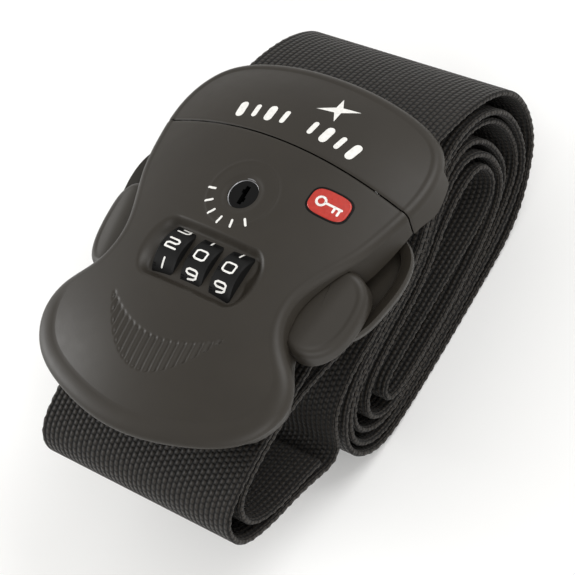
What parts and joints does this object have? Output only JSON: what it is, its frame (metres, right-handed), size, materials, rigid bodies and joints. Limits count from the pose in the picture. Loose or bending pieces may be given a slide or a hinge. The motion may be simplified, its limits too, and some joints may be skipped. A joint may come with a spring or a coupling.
{
  "type": "luggage strap",
  "caption": "Luggage strap: wide webbing wound in a flat bundle under a combination lock with a pull-out plug head, side release pads and a key cylinder.",
  "frame": {"origin": "middle of the footprint, on the surface the wound bundle lies on", "axes": "+X across the lock, +Y toward the plug head, +Z out of the lock's face"},
  "size_m": [0.0686, 0.1134, 0.0597],
  "materials": {
    "shell_plastic": "fine satin grain",
    "steel": "plated",
    "badge_red": "glossy",
    "spring_steel": "spring temper",
    "zinc": "die cast",
    "webbing_weave": "coarse woven",
    "shell_inner": "moulded",
    "dial_black": "semi-gloss",
    "acetal": "moulded",
    "core_black": "polished"
  },
  "bodies": {
    "housing": {"upper_cover": "shell_plastic", "lower_cover": "shell_plastic", "cover_screws": "steel", "adjuster_bar": "steel", "badge": "badge_red", "dial_shaft": "steel", "detent_spring": "spring_steel", "key_sleeve": "zinc", "webbing_turn_1": "webbing_weave", "webbing_turn_2": "webbing_weave", "webbing_turn_3": "webbing_weave", "webbing_turn_4": "webbing_weave", "webbing_return": "webbing_weave", "webbing_tail": "webbing_weave", "pad_spring_left": "spring_steel", "pad_spring_right": "spring_steel", "plate_spring": "spring_steel"},
    "plug": {"plug_cover": "shell_plastic", "plug_base": "shell_inner", "plug_screws": "steel", "plug_bar": "steel", "webbing_lead": "webbing_weave"},
    "dial_left": {"dial_left": "dial_black", "sleeve_left": "acetal"},
    "dial_middle": {"dial_middle": "dial_black", "sleeve_middle": "acetal"},
    "dial_right": {"dial_right": "dial_black", "sleeve_right": "acetal"},
    "key": {"key_core": "core_black", "core_clip": "spring_steel", "key_cam": "zinc"},
    "lock_plate": {"lock_plate": "steel"},
    "release_pad_left": {"release_pad_left": "shell_plastic"},
    "release_pad_right": {"release_pad_right": "shell_plastic"}
  },
  "joints": [
    {"name": "plug_slide", "type": "slide", "parent": "housing", "child": "plug", "axis": [0, 1, 0], "range_m": [0, 0.02], "deforming": ["webbing_lead"]},
    {"name": "pad_left_press", "type": "slide", "parent": "housing", "child": "release_pad_left", "axis": [1, 0, 0], "range_m": [0, 0.0025], "stiffness_N_per_m": 900, "springref_m": -0.001, "deforming": ["pad_spring_left"]},
    {"name": "pad_right_press", "type": "slide", "parent": "housing", "child": "release_pad_right", "axis": [-1, 0, 0], "range_m": [0, 0.0025], "stiffness_N_per_m": 900, "springref_m": -0.001, "deforming": ["pad_spring_right"]},
    {"name": "dial_left_turn", "type": "hinge", "parent": "housing", "child": "dial_left", "pos_m": [-0.0073, -0.014, 0.0527], "axis": [1, 0, 0], "continuous": true},
    {"name": "dial_middle_turn", "type": "hinge", "parent": "housing", "child": "dial_middle", "pos_m": [0, -0.014, 0.0527], "axis": [1, 0, 0], "continuous": true},
    {"name": "dial_right_turn", "type": "hinge", "parent": "housing", "child": "dial_right", "pos_m": [0.0073, -0.014, 0.0527], "axis": [1, 0, 0], "continuous": true},
    {"name": "key_turn", "type": "hinge", "parent": "housing", "child": "key", "pos_m": [0, 0.0022, 0.05], "axis": [0, 0, 1], "range_deg": [0, 90]},
    {"name": "lock_plate_slide", "type": "slide", "parent": "housing", "child": "lock_plate", "axis": [0, 1, 0], "range_m": [0, 0.002], "deforming": ["plate_spring"]}
  ],
  "couplings": [
    {"joint": "key_turn", "follows": "lock_plate_slide", "rad_per_m": 785}
  ]
}
